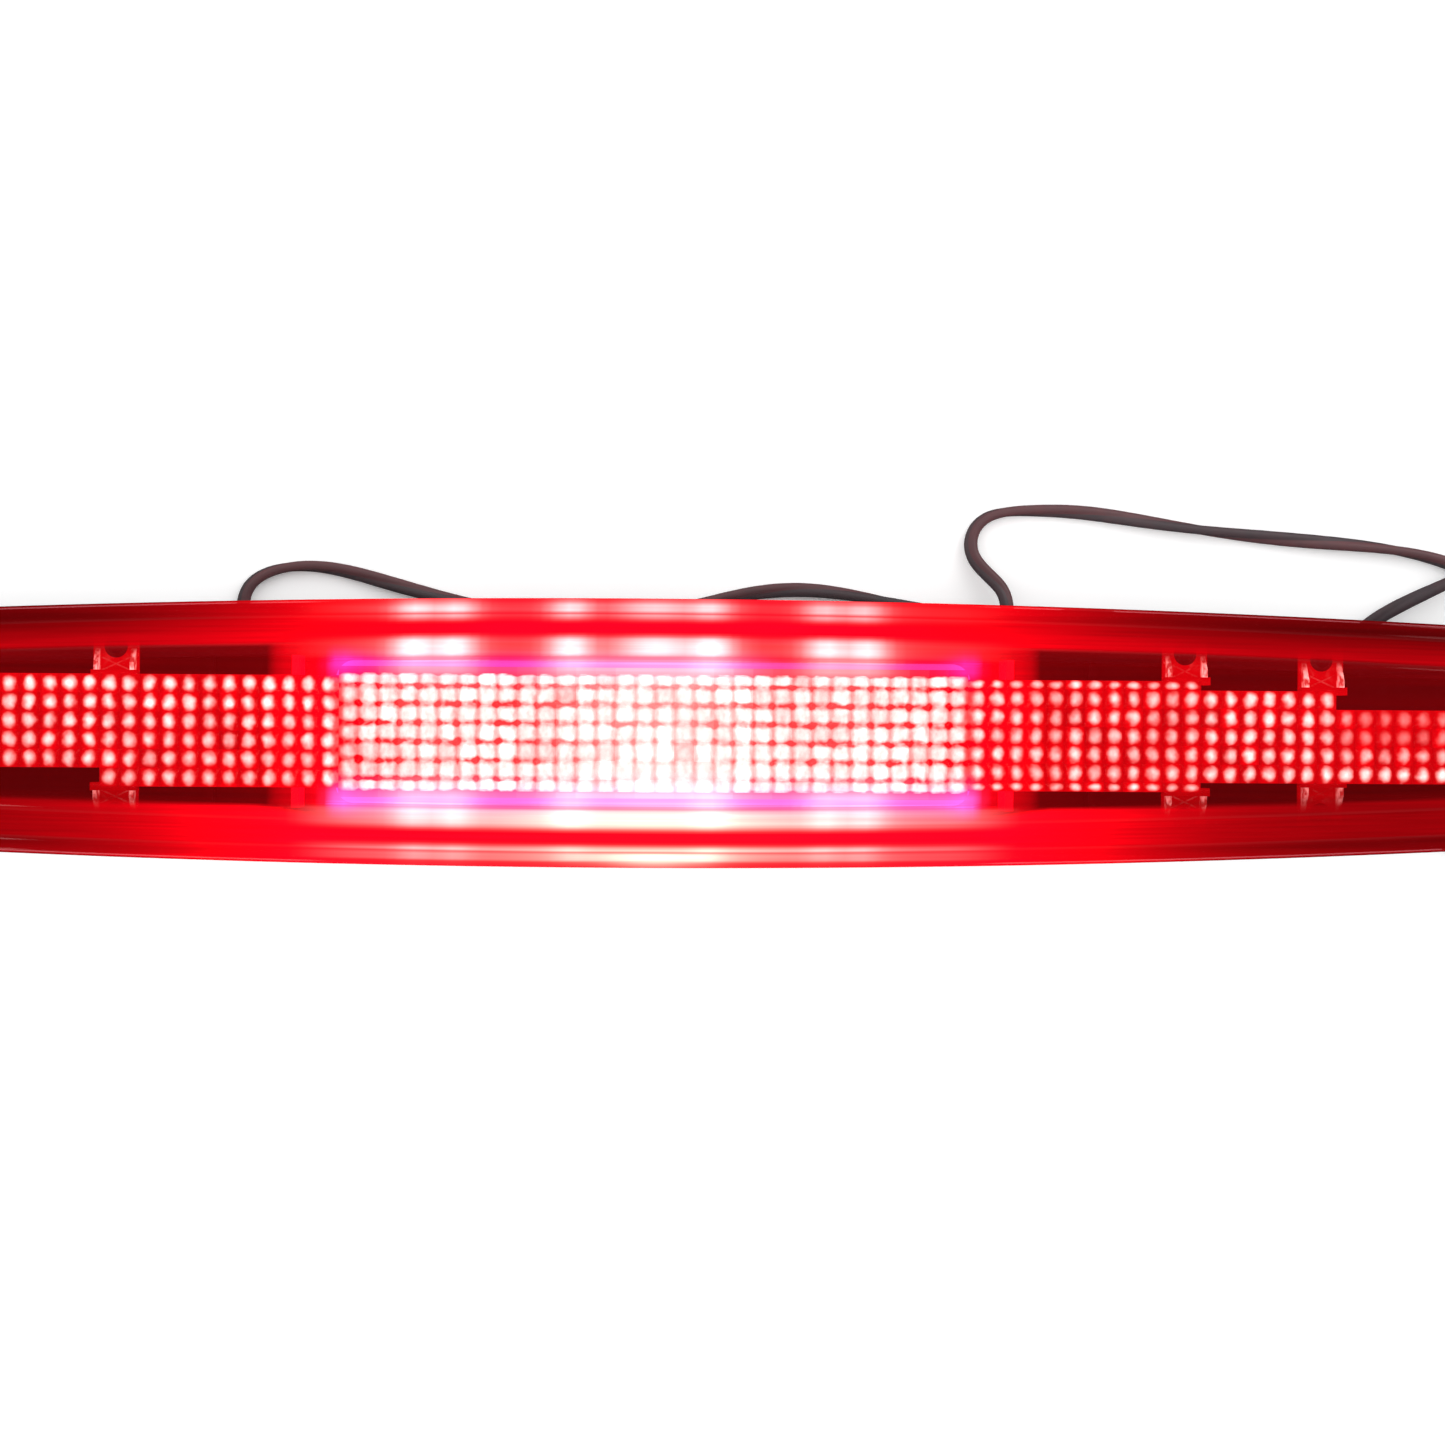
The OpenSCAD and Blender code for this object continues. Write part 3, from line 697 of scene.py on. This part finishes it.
def optic_material():
    """Clear pillows. Each has a round spot of light, and over the LEDs it is white but for its corners."""
    m, t = new_material("clear_optic")
    lit = node(t, "ShaderNodeAttribute", attribute_name="light")
    spot_light, haze, over_leds = node(t, "ShaderNodeSeparateColor", {"Color": lit.outputs["Color"]}).outputs
    bars = node(t, "ShaderNodeAttribute", attribute_name="bars").outputs["Fac"]

    moved = from_cell_middle(t)
    off = node(t, "ShaderNodeVectorMath", {0: moved}, operation="ABSOLUTE").outputs[0]
    off_x, off_y, _ = node(t, "ShaderNodeSeparateXYZ", {0: off}).outputs
    upright = vector(t, "MULTIPLY", moved, (1.15, 0.9, 1))
    reach = node(t, "ShaderNodeVectorMath", {0: upright}, operation="LENGTH").outputs["Value"]
    spot = fade(t, reach, 0.02, 0.46)

    patch = noise_texture(t, place(t, (1, 0.7, 1)), 0.35)
    uneven = ranged(t, patch, 0.35, 0.65, 0.45, 1.15)
    row_line = maths(t, "MULTIPLY", fade(t, off_y, 0.2, 0.5, 0.0, 1.0), uneven)
    column_line = maths(t, "MULTIPLY", fade(t, off_x, 0.2, 0.5, 0.0, 1.0), 0.62)
    lines = maths(t, "ADD", column_line, maths(t, "MULTIPLY", row_line, bars))
    filled = maths(t, "MAXIMUM", maths(t, "SUBTRACT", 1.0, lines), 0.0)

    sparkle = noise_texture(t, place(t, (1.3, 0.8, 1)), 0.6)
    white = maths(t, "MULTIPLY", chosen(t, over_leds, spot, filled), spot_light)
    white = maths(t, "MULTIPLY", white, ranged(t, sparkle, 0.3, 0.7, 0.75, 1.25))
    # Away from the LEDs the haze light is broken into painted glints, as on the tabs' prongs and braces.
    glint = chosen(t, over_leds, ranged(t, sparkle, 0.4, 0.65, 0.1, 1.6), 1.0)
    white = maths(t, "ADD", white, maths(t, "MULTIPLY", haze, glint))

    dim = maths(t, "MULTIPLY", fade(t, off_x, 0.25, 0.5, 1.0, 0.7), lit.outputs["Alpha"])
    light = node(t, "ShaderNodeMixRGB", {"Fac": 1.0, "Color1": tinted(t, (1.0, 0.002, 0.012, 1), dim),
                                         "Color2": tinted(t, (2.6, 3.3, 2.65, 1), white)}, blend_type="ADD")
    solid = node(t, "ShaderNodeBsdfPrincipled", {
        "Base Color": (0.25, 0.004, 0.01, 1), "Roughness": 0.12,
        "Emission Color": light.outputs[0], "Emission Strength": 1.0})
    finish_material(t, solid.outputs[0])
    return m


make_optic()


# ---------------------------------------------------------------- materials on the carried-over parts

def paint(material, *names):
    """Gives the CAD nodes named their material."""
    for n in names:
        o = nodes[n]
        o.data.materials.clear()
        o.data.materials.append(material)


SLATE = (0.045, 0.042, 0.048, 1)
RED_BROWN = (0.135, 0.045, 0.05, 1)
DUST = (0.085, 0.045, 0.05, 1)


def cable_material():
    """Two vinyl wires, red-brown and slate, with a soft sheen."""
    m, t = new_material("cable_vinyl")
    core = node(t, "ShaderNodeAttribute", attribute_name="core").outputs["Fac"]
    pick = ranged(t, core, 0.1, 0.4, 0.0, 1.0)
    smudge = noise_texture(t, place(t), 0.25, 4.0)
    wire = node(t, "ShaderNodeMixRGB", {"Fac": pick, "Color1": SLATE, "Color2": RED_BROWN})
    dusty = node(t, "ShaderNodeMixRGB", {"Fac": smudge, "Color1": wire.outputs[0], "Color2": DUST})
    bump = node(t, "ShaderNodeBump", {"Height": smudge, "Strength": 0.2, "Distance": 0.1 * MM})
    finish_material(t, node(t, "ShaderNodeBsdfPrincipled", {
        "Base Color": dusty.outputs[0], "Roughness": 0.45, "Normal": bump.outputs[0]}).outputs[0])
    return m


cable.data.materials.append(cable_material())

paint(grained("black_plastic", (0.02, 0.02, 0.022), rough=0.42, grain=0.35, depth=0.35), "housing")
paint(grained("sealant", (0.05, 0.05, 0.05), rough=0.6, grain=1.2), "lens_sealant")
paint(foam("foam", (0.035, 0.035, 0.037)), "flange_gasket", "pad_gasket_left", "pad_gasket_right")
paint(grained("brass", (0.72, 0.5, 0.2), rough=0.3, grain=0.2, metallic=1.0, vary=0.12, stretch=(1, 1, 4)),
      "mount_inserts")
paint(grained("frosted_box", (0.6, 0.1, 0.3), rough=0.4, grain=0.8, glow=((1.0, 0.12, 0.9), 0.9)),
      "light_box")
# The light shields are no lamp: their glow is painted light, the light box's light falling on them.
paint(grained("red_shield", (0.4, 0.01, 0.02), rough=0.3, grain=0.8, glow=((1.0, 0.004, 0.03), 1.1)),
      "light_shield_left", "light_shield_right")
paint(grained("white_board", (0.75, 0.76, 0.74), rough=0.35, grain=1.5, vary=0.06), "led_board")
paint(grained("zinc_steel", (0.62, 0.62, 0.64), rough=0.3, grain=0.15, metallic=1.0, vary=0.1),
      "board_screws")
paint(grained("led_lens", (0.9, 0.3, 0.3), rough=0.15, grain=0.5, glow=((1.0, 0.25, 0.3), 3.0)),
      *[f"led_{i}" for i in range(1, 7)])
paint(grained("resistor_blue", (0.1, 0.3, 0.5), rough=0.3, grain=0.7), "series_resistors")
paint(grained("diode_black", (0.03, 0.03, 0.03), rough=0.5), "protection_diode")
paint(grained("header_cream", (0.75, 0.7, 0.55), rough=0.45), "wire_header")
paint(grained("lead_red", (0.45, 0.02, 0.02), rough=0.4), "lead_positive")
paint(grained("lead_black", (0.03, 0.03, 0.03), rough=0.4), "lead_negative")
paint(grained("vent_black", (0.03, 0.03, 0.03), rough=0.5, grain=0.4), "vent_cap")
paint(grained("grommet_rubber", (0.025, 0.025, 0.026), rough=0.7, grain=0.5, depth=0.4), "cable_grommet")
paint(grained("boot_rubber", (0.03, 0.03, 0.032), rough=0.7, grain=0.5, depth=0.4), "plug_boot")
paint(grained("plug_plastic", (0.035, 0.035, 0.038), rough=0.4, grain=0.3), "plug_housing")
paint(grained("seal_orange", (0.65, 0.16, 0.03), rough=0.45, grain=0.6), "plug_seal_ring")
paint(grained("tinned_brass", (0.8, 0.77, 0.7), rough=0.25, grain=0.2, metallic=1.0, vary=0.08),
      "plug_terminals")
paint(grained("latch_plastic", (0.05, 0.05, 0.055), rough=0.42, grain=0.3), "plug_latch")
paint(grained("lock_plastic", (0.7, 0.36, 0.03), rough=0.42, grain=0.4, vary=0.1), "plug_terminal_lock")


def soften(width, *names):
    """A small round along a moulding's sharp edges. The CAD mesh's faces are joined first, as it needs."""
    for n in names:
        nodes[n].modifiers.new("joined", "WELD").merge_threshold = 0.005 * MM
        bevel = nodes[n].modifiers.new("soft_edges", "BEVEL")
        bevel.width = width * MM
        bevel.segments = 2
        bevel.limit_method = "ANGLE"
        bevel.angle_limit = math.radians(50)


soften(0.3, "plug_housing", "plug_seal_ring")
soften(0.15, "plug_latch", "plug_terminal_lock")


# ---------------------------------------------------------------- floor and light

def make_stage():
    """A pale floor, faintly lit from within so that it stays near white in the photograph's plain light."""
    bpy.ops.mesh.primitive_plane_add(size=12, location=(0, 0, 0))
    floor = bpy.context.object
    floor.name = "floor"
    m, t = new_material("floor")
    tone = noise_texture(t, place(t), 0.02)
    shade = node(t, "ShaderNodeMixRGB", {"Fac": tone, "Color1": (0.93, 0.93, 0.93, 1),
                                         "Color2": (0.96, 0.96, 0.96, 1)})
    finish_material(t, node(t, "ShaderNodeBsdfPrincipled", {
        "Base Color": shade.outputs[0], "Roughness": 0.9, "Specular IOR Level": 0.1,
        "Emission Color": (1, 1, 1, 1), "Emission Strength": 0.16}).outputs[0])
    floor.data.materials.append(m)
    floor.visible_glossy = False


def make_world():
    """Even white light. In reflections it is darker overhead, with a bright band lower down."""
    w = bpy.data.worlds.new("studio")
    bpy.context.scene.world = w
    w.use_nodes = True
    t = w.node_tree
    t.nodes.clear()
    direction = node(t, "ShaderNodeTexCoord").outputs["Generated"]
    up = node(t, "ShaderNodeSeparateXYZ", {0: direction}).outputs["Z"]
    ramp = node(t, "ShaderNodeValToRGB", {"Fac": up})
    stops = ramp.color_ramp.elements
    stops[0].color = (0.015, 0.015, 0.015, 1)
    stops[1].color = (0.03, 0.03, 0.03, 1)
    for height, grey in ((0.06, 0.2), (0.3, 0.24), (0.5, 0.2), (0.65, 0.05)):
        stops.new(height).color = (grey, grey, grey, 1)
    mirrored = node(t, "ShaderNodeLightPath").outputs["Is Glossy Ray"]
    colour = node(t, "ShaderNodeMixRGB", {"Fac": mirrored, "Color1": (1, 1, 1, 1), "Color2": ramp.outputs[0]})
    back = node(t, "ShaderNodeBackground", {"Color": colour.outputs[0], "Strength": 1.35})
    node(t, "ShaderNodeOutputWorld", {"Surface": back.outputs[0]})


def soft_box(name, at, size, power):
    """A round soft light that faces the origin. Its place and its width are in metres, its power in watts."""
    data = bpy.data.lights.new(name, "AREA")
    data.shape = "DISK"
    data.size = size
    data.energy = power
    o = bpy.data.objects.new(name, data)
    o.location = at
    o.rotation_euler = (-Vector(at)).to_track_quat("-Z", "Y").to_euler()
    bpy.context.scene.collection.objects.link(o)


make_stage()
make_world()
soft_box("key", (-0.9, -1.0, 1.3), 0.9, 9)
soft_box("fill", (1.1, 0.9, 1.1), 1.1, 5)
# The default view transform pales the lamp's saturated reds
bpy.context.scene.view_settings.view_transform = "Standard"
